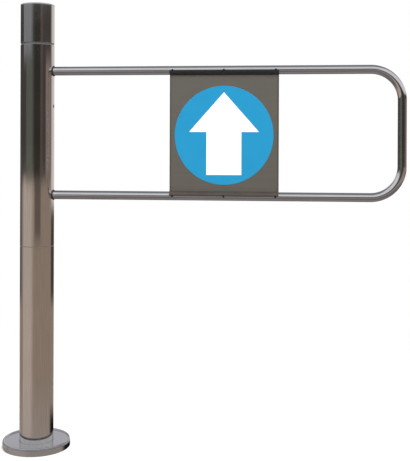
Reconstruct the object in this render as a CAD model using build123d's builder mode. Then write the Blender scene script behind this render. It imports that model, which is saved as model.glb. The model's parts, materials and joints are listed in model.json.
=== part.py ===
from build123d import *
import math
import os

# A one-way swing turnstile: a floor post whose middle sleeve turns and carries a looped arm with a sign.
# Units are millimetres. +Z is up along the post's axis, +X runs along the closed arm, visitors walk to +Y,
# and the origin is on the floor at the post's axis.

os.makedirs("parts", exist_ok=True)

# Post
post_height = 1000.0
post_radius = 38.0
tube_wall = 2.0
post_bore = post_radius - tube_wall
seat_gap = 0.05
fit_gap = 0.02
running_gap = 0.05
axial_gap = 0.1
seam_chamfer = 0.2
seat_radius = post_bore - seat_gap

# Base
plate_radius = 72.0
plate_thickness = 8.0
anchor_circle_radius = 58.0
anchor_count = 4
anchor_hole_radius = 5.5
cable_hole_radius = 20.0
foot_weld_leg = 4.0
cover_radius = 75.5
cover_sheet = 1.2
cover_top = 14.8
cover_rim_top = 17.2
cover_groove = 12.6
cover_bore = post_radius + 0.3

# Heights along the post
lower_post_top = 454.0
thrust_washer_top = 455.0
thrust_washer_radius = 37.4
sleeve_bottom = thrust_washer_top + axial_gap
sleeve_top = 908.0
head_bottom = 912.0
cap_thickness = 3.0
head_top = post_height - cap_thickness

# Spindle and its supports
spindle_radius = 15.0
spindle_bore = 9.0
spindle_stud_radius = 12.0
spindle_bottom = 322.0
spindle_top = 960.0
spindle_seat = spindle_radius + fit_gap
stud_seat = spindle_stud_radius + fit_gap
foot_disc_thickness = 12.0
foot_hub_radius = 22.0
foot_hub_height = 16.0
carrier_height = 30.0
head_carrier_height = 18.0

# Bearings of the sleeve
hub_height = 30.0
bush_radius = 19.0
bush_flange_radius = 24.0
bush_flange_thickness = 2.0
washer_bore = spindle_radius + 0.1

# Return cam: two ramps that lift a follower as the sleeve turns
swing_angle = 90.0
cam_lift = 12.0
cam_pitch = cam_lift * 360.0 / swing_angle
cam_bore = 21.0
cam_bottom = 752.0
cam_floor = 778.0
cam_top = cam_floor + 14.6
ramp_wall_angle = 18.0
ramp_end_angle = swing_angle + 18.0
ramp_overrun = 6.0
grub_height = 770.5
grub_radius = 4.0
grub_length = 13.0
grub_recess = 0.6
grub_azimuths = (0.0, 120.0)
socket_flats_ratio = 0.5
socket_depth = 3.5

# Follower
roller_radius = 6.0
roller_inner_end = 21.6
roller_outer_end = 29.1
roller_axis = cam_floor + roller_radius + 0.75
roller_pin_radius = 3.0
roller_pin_start = 15.4
roller_pin_head_start = 29.4
roller_pin_end = 31.0
roller_pin_head_radius = 4.6
yoke_radius = 20.0
yoke_bottom = roller_axis - 8.0
yoke_top = roller_axis + 12.5
yoke_flange_radius = 24.5
yoke_flange_thickness = 4.0
key_width = 6.0
key_root = 12.0
key_crest = 17.5
key_bottom = yoke_bottom
key_length = 34.0

# Return spring
wire_radius = 1.75
spring_radius = 21.0
spring_pitch = 8.5
spring_turns = 7
spring_height = spring_pitch * spring_turns
collar_bottom = yoke_top + spring_height + 2 * wire_radius + axial_gap
collar_height = 10.0
collar_radius = 25.0
collar_screw_radius = 3.0

# Head and counter
seam_ring_radius = 36.8
seam_ring_bore = 33.5
upper_washer_radius = 23.0
stud_washer_radius = 19.5
stud_washer_thickness = 3.0
stud_nut_flats = 36.0
stud_nut_height = 19.0
sensor_offset = 27.0
sensor_radius = 4.0
sensor_tip = head_bottom - 1.5
sensor_length = 37.5
sensor_nut_flats = 13.0
sensor_nut_height = 4.0
sensor_azimuth = 270.0
magnet_azimuth = sensor_azimuth - 60.0
magnet_radius = 4.0
magnet_height = 6.0
shelf_sheet = 2.0
shelf_width = 24.0
shelf_half_span = 29.0
shelf_foot_end = 33.0
shelf_top = 966.0
shelf_screw_offset = 31.0
module_length = 44.0
module_width = 30.0
module_height = 16.0
module_screw_offset = 16.0
small_screw_radius = 1.25
small_head_radius = 1.9
small_head_height = 1.8
small_screw_length = 8.0
cap_skirt_radius = 35.9
cap_skirt_bore = 33.0
cap_skirt_bottom = 985.0

# Arm
arm_tube_radius = 10.0
arm_wall = 1.5
arm_top_height = 850.0
arm_bottom_height = 570.0
arm_reach = 813.6
arm_bend_radius = 68.0
arm_start = 30.0
arm_weld_radius = 2.2
arm_weld_offset = 37.6

# Sign
panel_left = 303.2
panel_right = 546.2
panel_sheet = 2.0
panel_middle = (panel_left + panel_right) / 2
panel_tab_past_axis = 4.0
slot_gap = 0.05
disc_radius = 110.0
disc_sheet = 0.6
disc_height = 705.3
arrow_sheet = 0.3
arrow_bottom = 617.2
arrow_shoulder = 713.0
arrow_tip = 801.0
arrow_stem_width = 77.0
arrow_head_width = 156.0
panel_screw_inset = 7.0
panel_screw_radius = 1.6
panel_screw_head_radius = 2.4
panel_screw_head_height = 0.9
panel_screw_end = 3.0
seal_thickness = 0.9
seal_notch_gap = 0.1


def annulus(outer, inner):
    """A flat ring in the current sketch."""
    Circle(outer)
    Circle(inner, mode=Mode.SUBTRACT)


def radial_plane(azimuth, distance, height):
    """A plane whose normal points away from the post's axis at this azimuth."""
    outward = Vector(1, 0, 0).rotate(Axis.Z, azimuth)
    return Plane(origin=outward * distance + Vector(0, 0, height), x_dir=(0, 0, 1), z_dir=outward)


def side_plane(azimuth):
    """A vertical plane through the post's axis, with its local x pointing out at this azimuth."""
    outward = Vector(1, 0, 0).rotate(Axis.Z, azimuth)
    return Plane(origin=(0, 0, 0), x_dir=outward, z_dir=outward.rotate(Axis.Z, -90))


# Base plate: the steel disc that is bolted to the floor
with BuildPart() as base_plate:
    with BuildSketch():
        annulus(plate_radius, cable_hole_radius)
        with PolarLocations(anchor_circle_radius, anchor_count, start_angle=45):
            Circle(anchor_hole_radius, mode=Mode.SUBTRACT)
    extrude(amount=plate_thickness)
    chamfer(base_plate.edges().filter_by(GeomType.CIRCLE).group_by(SortBy.RADIUS)[-1].sort_by(Axis.Z)[-1], 0.8)
base_plate.part.label = "base_plate"
export_step(base_plate.part, "parts/base_plate.step")

# Lower post: the fixed tube that stands on the plate
with BuildPart() as lower_post:
    with BuildSketch(Plane.XY.offset(plate_thickness)):
        annulus(post_radius, post_bore)
    extrude(amount=lower_post_top - plate_thickness)
    chamfer(lower_post.faces().sort_by(Axis.Z)[-1].edges().sort_by(SortBy.LENGTH)[-1], seam_chamfer)
lower_post.part.label = "lower_post"
export_step(lower_post.part, "parts/lower_post.step")

# Foot weld: the fillet between plate and post, under the cover
with BuildPart() as foot_weld:
    with BuildSketch(Plane.XZ):
        with BuildLine():
            Polyline(
                (post_radius, plate_thickness),
                (post_radius + foot_weld_leg, plate_thickness),
                (post_radius, plate_thickness + foot_weld_leg),
                close=True,
            )
        make_face()
    revolve(axis=Axis.Z)
foot_weld.part.label = "foot_weld"
export_step(foot_weld.part, "parts/foot_weld.step")

# Base cover: the spun shell over plate and anchors, with a groove under its rolled rim and a sunk top
with BuildPart() as base_cover:
    with BuildSketch(Plane.XZ):
        with BuildLine():
            Polyline(
                (cover_radius - cover_sheet, 0),
                (cover_radius, 0),
                (cover_radius - 0.6, cover_groove - 0.8),
                (cover_radius - 1.6, cover_groove),
                (cover_radius - 0.7, cover_groove + 0.9),
            )
            ThreePointArc(
                (cover_radius - 0.7, cover_groove + 0.9),
                (cover_radius - 2.2, cover_rim_top),
                (cover_radius - 4.6, cover_top),
            )
            Polyline(
                (cover_radius - 4.6, cover_top),
                (cover_bore, cover_top),
                (cover_bore, cover_top - cover_sheet),
                (cover_radius - 5.2, cover_top - cover_sheet),
                (cover_radius - 3.0, cover_groove - 0.4),
                (cover_radius - cover_sheet, 0),
            )
        make_face()
    revolve(axis=Axis.Z)
base_cover.part.label = "base_cover"
export_step(base_cover.part, "parts/base_cover.step")

# Spindle: the fixed hollow shaft that the sleeve turns on, with a threaded stud end and a key slot
with BuildPart() as spindle:
    with BuildSketch(Plane.XY.offset(spindle_bottom)):
        Circle(spindle_radius)
    extrude(amount=head_bottom - spindle_bottom)
    with BuildSketch(Plane.XY.offset(head_bottom)):
        Circle(spindle_stud_radius)
    extrude(amount=spindle_top - head_bottom)
    chamfer(spindle.faces().sort_by(Axis.Z)[-1].edges(), 1.5)
    with BuildSketch(Plane.XY.offset(spindle_bottom)):
        Circle(spindle_bore)
    extrude(amount=spindle_top - spindle_bottom, mode=Mode.SUBTRACT)
    with BuildSketch(Plane.XY.offset(key_bottom)):
        with Locations((0, (key_root + spindle_radius) / 2 + 1)):
            Rectangle(key_width, spindle_radius - key_root + 2)
    extrude(amount=key_length, mode=Mode.SUBTRACT)
spindle.part.label = "spindle"
export_step(spindle.part, "parts/spindle.step")

# Spindle foot: the welded-in disc that holds the spindle's lower end
with BuildPart() as spindle_foot:
    with BuildSketch(Plane.XY.offset(spindle_bottom)):
        Circle(seat_radius)
    extrude(amount=foot_disc_thickness)
    with BuildSketch(Plane.XY.offset(spindle_bottom + foot_disc_thickness)):
        Circle(foot_hub_radius)
    extrude(amount=foot_hub_height)
    with BuildSketch(Plane.XY.offset(spindle_bottom)):
        Circle(spindle_seat)
    extrude(amount=foot_disc_thickness + foot_hub_height, mode=Mode.SUBTRACT)
spindle_foot.part.label = "spindle_foot"
export_step(spindle_foot.part, "parts/spindle_foot.step")

# Lower carrier: the plug in the top of the lower post
with BuildPart() as lower_carrier:
    with BuildSketch(Plane.XY.offset(lower_post_top - carrier_height)):
        annulus(seat_radius, spindle_seat)
    extrude(amount=carrier_height)
    chamfer(lower_carrier.faces().sort_by(Axis.Z)[0].edges().sort_by(SortBy.LENGTH)[-1], 1.0)
lower_carrier.part.label = "lower_carrier"
export_step(lower_carrier.part, "parts/lower_carrier.step")

# Thrust washer: carries the sleeve's weight and shows as the lower hairline seam
with BuildPart() as thrust_washer:
    with BuildSketch(Plane.XY.offset(lower_post_top)):
        annulus(thrust_washer_radius, washer_bore)
    extrude(amount=thrust_washer_top - lower_post_top)
thrust_washer.part.label = "thrust_washer"
export_step(thrust_washer.part, "parts/thrust_washer.step")

# Sleeve: the turning middle length of the post, with holes for the cam's grub screws
with BuildPart() as sleeve:
    with BuildSketch(Plane.XY.offset(sleeve_bottom)):
        annulus(post_radius, post_bore)
    extrude(amount=sleeve_top - sleeve_bottom)
    chamfer(sleeve.faces().sort_by(Axis.Z)[0].edges().sort_by(SortBy.LENGTH)[-1], seam_chamfer)
    chamfer(sleeve.faces().sort_by(Axis.Z)[-1].edges().sort_by(SortBy.LENGTH)[-1], 0.4)
    for azimuth in grub_azimuths:
        with BuildSketch(radial_plane(azimuth, post_bore - 1, grub_height)):
            Circle(grub_radius + seat_gap)
        extrude(amount=tube_wall + 2, mode=Mode.SUBTRACT)
sleeve.part.label = "sleeve"
export_step(sleeve.part, "parts/sleeve.step")

# Lower hub and bush: the sleeve's bottom bearing
with BuildPart() as lower_hub:
    with BuildSketch(Plane.XY.offset(sleeve_bottom)):
        annulus(seat_radius, bush_radius + fit_gap)
    extrude(amount=hub_height)
lower_hub.part.label = "lower_hub"
export_step(lower_hub.part, "parts/lower_hub.step")

with BuildPart() as lower_bush:
    with BuildSketch(Plane.XY.offset(sleeve_bottom)):
        Circle(bush_radius)
    extrude(amount=hub_height)
    with BuildSketch(Plane.XY.offset(sleeve_bottom + hub_height)):
        Circle(bush_flange_radius)
    extrude(amount=bush_flange_thickness)
    with BuildSketch(Plane.XY.offset(sleeve_bottom)):
        Circle(spindle_radius + running_gap)
    extrude(amount=hub_height + bush_flange_thickness, mode=Mode.SUBTRACT)
lower_bush.part.label = "lower_bush"
export_step(lower_bush.part, "parts/lower_bush.step")

# Upper hub and bush: the sleeve's top bearing, with a pocket for the counting magnet
upper_hub_bottom = sleeve_top - hub_height
magnet_spot = Vector(sensor_offset, 0, 0).rotate(Axis.Z, magnet_azimuth)
with BuildPart() as upper_hub:
    with BuildSketch(Plane.XY.offset(upper_hub_bottom)):
        annulus(seat_radius, bush_radius + fit_gap)
    extrude(amount=hub_height)
    with BuildSketch(Plane.XY.offset(sleeve_top - magnet_height)):
        with Locations((magnet_spot.X, magnet_spot.Y)):
            Circle(magnet_radius + fit_gap)
    extrude(amount=magnet_height, mode=Mode.SUBTRACT)
upper_hub.part.label = "upper_hub"
export_step(upper_hub.part, "parts/upper_hub.step")

with BuildPart() as upper_bush:
    with BuildSketch(Plane.XY.offset(upper_hub_bottom)):
        Circle(bush_radius)
    extrude(amount=hub_height)
    with BuildSketch(Plane.XY.offset(upper_hub_bottom - bush_flange_thickness)):
        Circle(bush_flange_radius)
    extrude(amount=bush_flange_thickness)
    with BuildSketch(Plane.XY.offset(upper_hub_bottom - bush_flange_thickness)):
        Circle(spindle_radius + running_gap)
    extrude(amount=hub_height + bush_flange_thickness, mode=Mode.SUBTRACT)
upper_bush.part.label = "upper_bush"
export_step(upper_bush.part, "parts/upper_bush.step")

with BuildPart() as counting_magnet:
    with BuildSketch(Plane.XY.offset(sleeve_top - magnet_height)):
        with Locations((magnet_spot.X, magnet_spot.Y)):
            Circle(magnet_radius)
    extrude(amount=magnet_height)
counting_magnet.part.label = "counting_magnet"
export_step(counting_magnet.part, "parts/counting_magnet.step")

# Space above one cam ramp: a helical floor that rises clockwise, between two radial walls
ramp_start_angle = ramp_wall_angle + ramp_overrun
ramp_sweep_angle = ramp_start_angle + ramp_end_angle + ramp_overrun
ramp_middle_radius = (cam_bore + seat_radius) / 2
ramp_width = seat_radius - cam_bore + 3.0
ramp_room = 40.0
ramp_start_height = cam_floor - cam_pitch * ramp_start_angle / 360.0
with BuildPart() as ramp_space:
    with BuildLine() as ramp_line:
        Helix(
            pitch=cam_pitch,
            height=cam_pitch * ramp_sweep_angle / 360.0,
            radius=ramp_middle_radius,
            lefthand=True,
        )
    with BuildSketch(Plane(origin=ramp_line.line @ 0, x_dir=(1, 0, 0), z_dir=ramp_line.line % 0)):
        with Locations((0, ramp_room / 2)):
            Rectangle(ramp_width, ramp_room)
    sweep(path=ramp_line.line, is_frenet=True)
ramp_turned = ramp_space.part.rotate(Axis.Z, ramp_start_angle).moved(Location((0, 0, ramp_start_height)))
with BuildPart() as ramp_cut:
    with BuildSketch(side_plane(-ramp_end_angle)):
        with Locations((ramp_middle_radius, cam_floor)):
            Rectangle(ramp_width, 2 * ramp_room)
    revolve(axis=Axis.Z, revolution_arc=ramp_end_angle + ramp_wall_angle)
    add(ramp_turned, mode=Mode.INTERSECT)

# Cam ring: fixed in the sleeve, its ramps lift the follower and its walls are the closed stop
with BuildPart() as cam_ring:
    with BuildSketch(Plane.XY.offset(cam_bottom)):
        annulus(seat_radius, cam_bore)
    extrude(amount=cam_top - cam_bottom)
    with PolarLocations(0, 2):
        add(ramp_cut.part, mode=Mode.SUBTRACT)
    for azimuth in grub_azimuths:
        with BuildSketch(radial_plane(azimuth, cam_bore - 1, grub_height)):
            Circle(grub_radius + fit_gap)
        extrude(amount=seat_radius - cam_bore + 2, mode=Mode.SUBTRACT)
cam_ring.part.label = "cam_ring"
export_step(cam_ring.part, "parts/cam_ring.step")

# Cam screws: socket grub screws through the sleeve into the cam ring
with BuildPart() as cam_screws:
    for azimuth in grub_azimuths:
        with BuildSketch(radial_plane(azimuth, post_radius - grub_recess - grub_length, grub_height)):
            Circle(grub_radius)
        extrude(amount=grub_length)
        with BuildSketch(radial_plane(azimuth, post_radius - grub_recess - socket_depth, grub_height)):
            RegularPolygon(grub_radius * socket_flats_ratio, 6, major_radius=False)
        extrude(amount=socket_depth, mode=Mode.SUBTRACT)
cam_screws.part.label = "cam_screws"
export_step(cam_screws.part, "parts/cam_screws.step")

# Feather key: lets the follower slide on the spindle but not turn
with BuildPart() as feather_key:
    with BuildSketch(Plane.XY.offset(key_bottom)):
        with Locations((0, (key_root + key_crest) / 2)):
            Rectangle(key_width - 2 * fit_gap, key_crest - key_root - 2 * fit_gap)
    extrude(amount=key_length - fit_gap)
feather_key.part.label = "feather_key"
export_step(feather_key.part, "parts/feather_key.step")

# Follower yoke: slides up the spindle against the spring
with BuildPart() as follower_yoke:
    with BuildSketch(Plane.XY.offset(yoke_bottom)):
        Circle(yoke_radius)
    extrude(amount=yoke_top - yoke_bottom)
    with BuildSketch(Plane.XY.offset(yoke_top - yoke_flange_thickness)):
        Circle(yoke_flange_radius)
    extrude(amount=yoke_flange_thickness)
    with BuildSketch(Plane.XY.offset(yoke_bottom)):
        Circle(spindle_radius + running_gap)
        with Locations((0, key_crest / 2 + 0.1)):
            Rectangle(key_width + 0.1, key_crest)
    extrude(amount=yoke_top - yoke_bottom, mode=Mode.SUBTRACT)
    with BuildSketch(radial_plane(0, -yoke_radius - 1, roller_axis)):
        Circle(roller_pin_radius + fit_gap)
    extrude(amount=2 * yoke_radius + 2, mode=Mode.SUBTRACT)
follower_yoke.part.label = "follower_yoke"
export_step(follower_yoke.part, "parts/follower_yoke.step")

# Rollers and their headed pins, one pair on each side of the yoke
for side, azimuth in (("right", 0.0), ("left", 180.0)):
    with BuildPart() as roller_pin:
        with BuildSketch(radial_plane(azimuth, roller_pin_start, roller_axis)):
            Circle(roller_pin_radius)
        extrude(amount=roller_pin_end - roller_pin_start)
        with BuildSketch(radial_plane(azimuth, roller_pin_head_start, roller_axis)):
            Circle(roller_pin_head_radius)
        extrude(amount=roller_pin_end - roller_pin_head_start)
    roller_pin.part.label = f"roller_pin_{side}"
    export_step(roller_pin.part, f"parts/roller_pin_{side}.step")

    with BuildPart() as roller:
        with BuildSketch(radial_plane(azimuth, roller_inner_end, roller_axis)):
            annulus(roller_radius, roller_pin_radius + running_gap)
        extrude(amount=roller_outer_end - roller_inner_end)
        chamfer(roller.edges().filter_by(GeomType.CIRCLE).group_by(SortBy.RADIUS)[-1], 0.5)
    roller.part.label = f"roller_{side}"
    export_step(roller.part, f"parts/roller_{side}.step")

# Return spring: round wire coiled between yoke and collar
with BuildPart() as return_spring:
    with BuildLine(Plane.XY.offset(yoke_top + wire_radius + axial_gap / 2)) as coil_line:
        Helix(pitch=spring_pitch, height=spring_height, radius=spring_radius)
    with BuildSketch(Plane(origin=coil_line.line @ 0, z_dir=coil_line.line % 0)):
        Circle(wire_radius)
    sweep(path=coil_line.line, is_frenet=True)
return_spring.part.label = "return_spring"
export_step(return_spring.part, "parts/return_spring.step")

# Spring collar and its grub screw: set the spring's preload
with BuildPart() as spring_collar:
    with BuildSketch(Plane.XY.offset(collar_bottom)):
        annulus(collar_radius, spindle_seat)
    extrude(amount=collar_height)
    with BuildSketch(radial_plane(-90, spindle_radius - 1, collar_bottom + collar_height / 2)):
        Circle(collar_screw_radius + fit_gap)
    extrude(amount=collar_radius, mode=Mode.SUBTRACT)
spring_collar.part.label = "spring_collar"
export_step(spring_collar.part, "parts/spring_collar.step")

collar_screw_length = collar_radius - spindle_seat - grub_recess
with BuildPart() as collar_screw:
    with BuildSketch(radial_plane(-90, spindle_seat + 0.1, collar_bottom + collar_height / 2)):
        Circle(collar_screw_radius)
    extrude(amount=collar_screw_length)
    with BuildSketch(collar_screw.faces().sort_by(Axis.Y)[0]):
        RegularPolygon(collar_screw_radius * socket_flats_ratio, 6, major_radius=False)
    extrude(amount=-socket_depth, mode=Mode.SUBTRACT)
collar_screw.part.label = "collar_screw"
export_step(collar_screw.part, "parts/collar_screw.step")

# Upper washer and seam ring: fill the gap between the turning sleeve and the fixed head
with BuildPart() as upper_washer:
    with BuildSketch(Plane.XY.offset(sleeve_top + axial_gap)):
        annulus(upper_washer_radius, washer_bore)
    extrude(amount=head_bottom - sleeve_top - axial_gap)
upper_washer.part.label = "upper_washer"
export_step(upper_washer.part, "parts/upper_washer.step")

with BuildPart() as seam_ring:
    with BuildSketch(Plane.XY.offset(sleeve_top + axial_gap)):
        annulus(seam_ring_radius, seam_ring_bore)
    extrude(amount=head_bottom - sleeve_top - axial_gap)
    fillet(seam_ring.edges().filter_by(GeomType.CIRCLE).group_by(SortBy.RADIUS)[-1], 0.6)
seam_ring.part.label = "seam_ring"
export_step(seam_ring.part, "parts/seam_ring.step")

# Head carrier: the disc clamped on the spindle's shoulder that holds the head tube and the sensor
head_carrier_top = head_bottom + head_carrier_height
sensor_spot = Vector(sensor_offset, 0, 0).rotate(Axis.Z, sensor_azimuth)
with BuildPart() as head_carrier:
    with BuildSketch(Plane.XY.offset(head_bottom)):
        annulus(seat_radius, stud_seat)
        with Locations((sensor_spot.X, sensor_spot.Y)):
            Circle(sensor_radius + fit_gap, mode=Mode.SUBTRACT)
    extrude(amount=head_carrier_height)
    with BuildSketch(Plane.XY.offset(head_carrier_top - small_screw_length)):
        with Locations((-shelf_screw_offset, 0), (shelf_screw_offset, 0)):
            Circle(small_screw_radius + fit_gap)
    extrude(amount=small_screw_length, mode=Mode.SUBTRACT)
head_carrier.part.label = "head_carrier"
export_step(head_carrier.part, "parts/head_carrier.step")

# Head tube: the fixed top length of the post
with BuildPart() as head_tube:
    with BuildSketch(Plane.XY.offset(head_bottom)):
        annulus(post_radius, post_bore)
    extrude(amount=head_top - head_bottom)
    chamfer(head_tube.faces().sort_by(Axis.Z)[0].edges().sort_by(SortBy.LENGTH)[-1], 0.4)
head_tube.part.label = "head_tube"
export_step(head_tube.part, "parts/head_tube.step")

# Top cap: a flat lid with a skirt that is pressed into the head tube
with BuildPart() as top_cap:
    with BuildSketch(Plane.XY.offset(head_top)):
        Circle(post_radius)
    extrude(amount=cap_thickness)
    fillet(top_cap.edges().group_by(Axis.Z)[-1], 1.2)
    with BuildSketch(Plane.XY.offset(cap_skirt_bottom)):
        annulus(cap_skirt_radius, cap_skirt_bore)
    extrude(amount=head_top - cap_skirt_bottom)
top_cap.part.label = "top_cap"
export_step(top_cap.part, "parts/top_cap.step")

# Stud washer and nut: clamp the head carrier on the spindle
with BuildPart() as stud_washer:
    with BuildSketch(Plane.XY.offset(head_carrier_top)):
        annulus(stud_washer_radius, stud_seat)
    extrude(amount=stud_washer_thickness)
stud_washer.part.label = "stud_washer"
export_step(stud_washer.part, "parts/stud_washer.step")

with BuildPart() as stud_nut:
    with BuildSketch(Plane.XY.offset(head_carrier_top + stud_washer_thickness)):
        RegularPolygon(stud_nut_flats / 2, 6, major_radius=False)
        Circle(stud_seat, mode=Mode.SUBTRACT)
    extrude(amount=stud_nut_height)
stud_nut.part.label = "stud_nut"
export_step(stud_nut.part, "parts/stud_nut.step")

# Pulse sensor and its lock nut: senses the magnet as the arm passes two thirds of its swing
with BuildPart() as pulse_sensor:
    with BuildSketch(Plane.XY.offset(sensor_tip)):
        with Locations((sensor_spot.X, sensor_spot.Y)):
            Circle(sensor_radius)
    extrude(amount=sensor_length)
    chamfer(pulse_sensor.faces().sort_by(Axis.Z)[-1].edges(), 0.8)
pulse_sensor.part.label = "pulse_sensor"
export_step(pulse_sensor.part, "parts/pulse_sensor.step")

with BuildPart() as sensor_nut:
    with BuildSketch(Plane.XY.offset(head_carrier_top)):
        with Locations((sensor_spot.X, sensor_spot.Y)):
            RegularPolygon(sensor_nut_flats / 2, 6, major_radius=False)
            Circle(sensor_radius + fit_gap, mode=Mode.SUBTRACT)
    extrude(amount=sensor_nut_height)
sensor_nut.part.label = "sensor_nut"
export_step(sensor_nut.part, "parts/sensor_nut.step")

# Counter shelf: a bent strip that stands on the head carrier over the nut
with BuildPart() as counter_shelf:
    with BuildSketch(Plane.XZ.offset(-shelf_width / 2)):
        with BuildLine():
            Polyline(
                (-shelf_foot_end, head_carrier_top),
                (-shelf_half_span + shelf_sheet, head_carrier_top),
                (-shelf_half_span + shelf_sheet, shelf_top - shelf_sheet),
                (shelf_half_span - shelf_sheet, shelf_top - shelf_sheet),
                (shelf_half_span - shelf_sheet, head_carrier_top),
                (shelf_foot_end, head_carrier_top),
                (shelf_foot_end, head_carrier_top + shelf_sheet),
                (shelf_half_span, head_carrier_top + shelf_sheet),
                (shelf_half_span, shelf_top),
                (-shelf_half_span, shelf_top),
                (-shelf_half_span, head_carrier_top + shelf_sheet),
                (-shelf_foot_end, head_carrier_top + shelf_sheet),
                close=True,
            )
        make_face()
    extrude(amount=shelf_width)
    with BuildSketch(Plane.XY.offset(head_carrier_top)):
        with Locations((-shelf_screw_offset, 0), (shelf_screw_offset, 0)):
            Circle(small_screw_radius + fit_gap)
    extrude(amount=shelf_sheet, mode=Mode.SUBTRACT)
    with BuildSketch(Plane.XY.offset(shelf_top - shelf_sheet)):
        with Locations((-module_screw_offset, 0), (module_screw_offset, 0)):
            Circle(small_screw_radius + fit_gap)
    extrude(amount=shelf_sheet, mode=Mode.SUBTRACT)
counter_shelf.part.label = "counter_shelf"
export_step(counter_shelf.part, "parts/counter_shelf.step")

with BuildPart() as shelf_screws:
    with BuildSketch(Plane.XY.offset(head_carrier_top + shelf_sheet)):
        with Locations((-shelf_screw_offset, 0), (shelf_screw_offset, 0)):
            Circle(small_head_radius)
    extrude(amount=small_head_height)
    with BuildSketch(Plane.XY.offset(head_carrier_top + shelf_sheet - small_screw_length)):
        with Locations((-shelf_screw_offset, 0), (shelf_screw_offset, 0)):
            Circle(small_screw_radius)
    extrude(amount=small_screw_length)
shelf_screws.part.label = "shelf_screws"
export_step(shelf_screws.part, "parts/shelf_screws.step")

# Counter module: the sealed box that adds up the sensor's pulses, screwed on from below
with BuildPart() as counter_module:
    with BuildSketch(Plane.XY.offset(shelf_top)):
        Rectangle(module_length, module_width)
    extrude(amount=module_height)
    fillet(counter_module.edges().filter_by(Axis.Z), 3.0)
    fillet(counter_module.edges().group_by(Axis.Z)[-1], 1.5)
    with BuildSketch(Plane.XY.offset(shelf_top)):
        with Locations((-module_screw_offset, 0), (module_screw_offset, 0)):
            Circle(small_screw_radius + fit_gap)
    extrude(amount=small_screw_length, mode=Mode.SUBTRACT)
counter_module.part.label = "counter_module"
export_step(counter_module.part, "parts/counter_module.step")

with BuildPart() as module_screws:
    with BuildSketch(Plane.XY.offset(shelf_top - shelf_sheet - small_head_height)):
        with Locations((-module_screw_offset, 0), (module_screw_offset, 0)):
            Circle(small_head_radius)
    extrude(amount=small_head_height)
    with BuildSketch(Plane.XY.offset(shelf_top - shelf_sheet)):
        with Locations((-module_screw_offset, 0), (module_screw_offset, 0)):
            Circle(small_screw_radius)
    extrude(amount=small_screw_length)
module_screws.part.label = "module_screws"
export_step(module_screws.part, "parts/module_screws.step")

# Arm tube: one tube bent into a loop, coped to the sleeve, slotted for the sign panel
arm_heights = (arm_bottom_height, arm_top_height)
screw_stations = (panel_left + panel_screw_inset, panel_middle, panel_right - panel_screw_inset)
panel_bottom = arm_bottom_height - panel_tab_past_axis
panel_top = arm_top_height + panel_tab_past_axis
bend_x = arm_reach - arm_bend_radius
with BuildPart() as arm_tube:
    with BuildLine(Plane.XZ) as arm_path:
        top_run = Line((arm_start, arm_top_height), (bend_x, arm_top_height))
        top_bend = JernArc(top_run @ 1, top_run % 1, arm_bend_radius, -90)
        end_run = Line(top_bend @ 1, (arm_reach, arm_bottom_height + arm_bend_radius))
        bottom_bend = JernArc(end_run @ 1, end_run % 1, arm_bend_radius, -90)
        Line(bottom_bend @ 1, (arm_start, arm_bottom_height))
    with BuildSketch(Plane(origin=(arm_start, 0, arm_top_height), z_dir=(1, 0, 0))):
        annulus(arm_tube_radius, arm_tube_radius - arm_wall)
    sweep(path=arm_path.line)
    with BuildSketch(Plane.XY.offset(sleeve_bottom)):
        Circle(post_radius + fit_gap)
    extrude(amount=sleeve_top - sleeve_bottom, mode=Mode.SUBTRACT)
    with BuildSketch(Plane.XZ.offset(-panel_sheet / 2 - slot_gap)):
        with Locations((panel_middle, (arm_top_height + arm_bottom_height) / 2)):
            Rectangle(panel_right - panel_left + 2 * slot_gap, arm_top_height - arm_bottom_height)
    extrude(amount=panel_sheet + 2 * slot_gap, mode=Mode.SUBTRACT)
    with BuildSketch(Plane.XZ):
        for height in arm_heights:
            for station in screw_stations:
                with Locations((station, height)):
                    Circle(panel_screw_radius + fit_gap)
    extrude(amount=2 * arm_tube_radius, mode=Mode.SUBTRACT)
arm_tube.part.label = "arm_tube"
export_step(arm_tube.part, "parts/arm_tube.step")

# Arm welds: beads around the two tube ends on the sleeve
with BuildPart() as arm_welds:
    for height in arm_heights:
        with BuildSketch(Plane.XZ):
            with Locations((arm_weld_offset, height + arm_tube_radius)):
                Circle(arm_weld_radius)
        revolve(axis=Axis((0, 0, height), (1, 0, 0)))
        with BuildSketch(Plane.YZ):
            with Locations((0, height)):
                Circle(arm_tube_radius + fit_gap)
        extrude(amount=2 * post_radius, mode=Mode.SUBTRACT)
    with BuildSketch(Plane.XY.offset(sleeve_bottom)):
        Circle(post_radius + fit_gap)
    extrude(amount=sleeve_top - sleeve_bottom, mode=Mode.SUBTRACT)
arm_welds.part.label = "arm_welds"
export_step(arm_welds.part, "parts/arm_welds.step")

# Sign panel: a flat sheet whose top and bottom edges sit in slots in the tubes
with BuildPart() as sign_panel:
    with BuildSketch(Plane.XZ.offset(-panel_sheet / 2)):
        with Locations((panel_middle, (panel_top + panel_bottom) / 2)):
            Rectangle(panel_right - panel_left, panel_top - panel_bottom)
        for height in arm_heights:
            for station in screw_stations:
                with Locations((station, height)):
                    Circle(panel_screw_radius + fit_gap, mode=Mode.SUBTRACT)
    extrude(amount=panel_sheet)
    fillet(sign_panel.edges().filter_by(Axis.Z), 0.5)
sign_panel.part.label = "sign_panel"
export_step(sign_panel.part, "parts/sign_panel.step")

# Panel screws: pan-head screws through the tubes' front walls into the panel
with BuildPart() as panel_screws:
    for height in arm_heights:
        for station in screw_stations:
            with BuildSketch(Plane.XZ.offset(-panel_screw_end)):
                with Locations((station, height)):
                    Circle(panel_screw_radius)
            extrude(amount=panel_screw_end + arm_tube_radius)
            with BuildSketch(Plane.XZ.offset(arm_tube_radius)):
                with Locations((station, height)):
                    Circle(panel_screw_head_radius)
            extrude(amount=panel_screw_head_height)
panel_screws.part.label = "panel_screws"
export_step(panel_screws.part, "parts/panel_screws.step")

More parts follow.
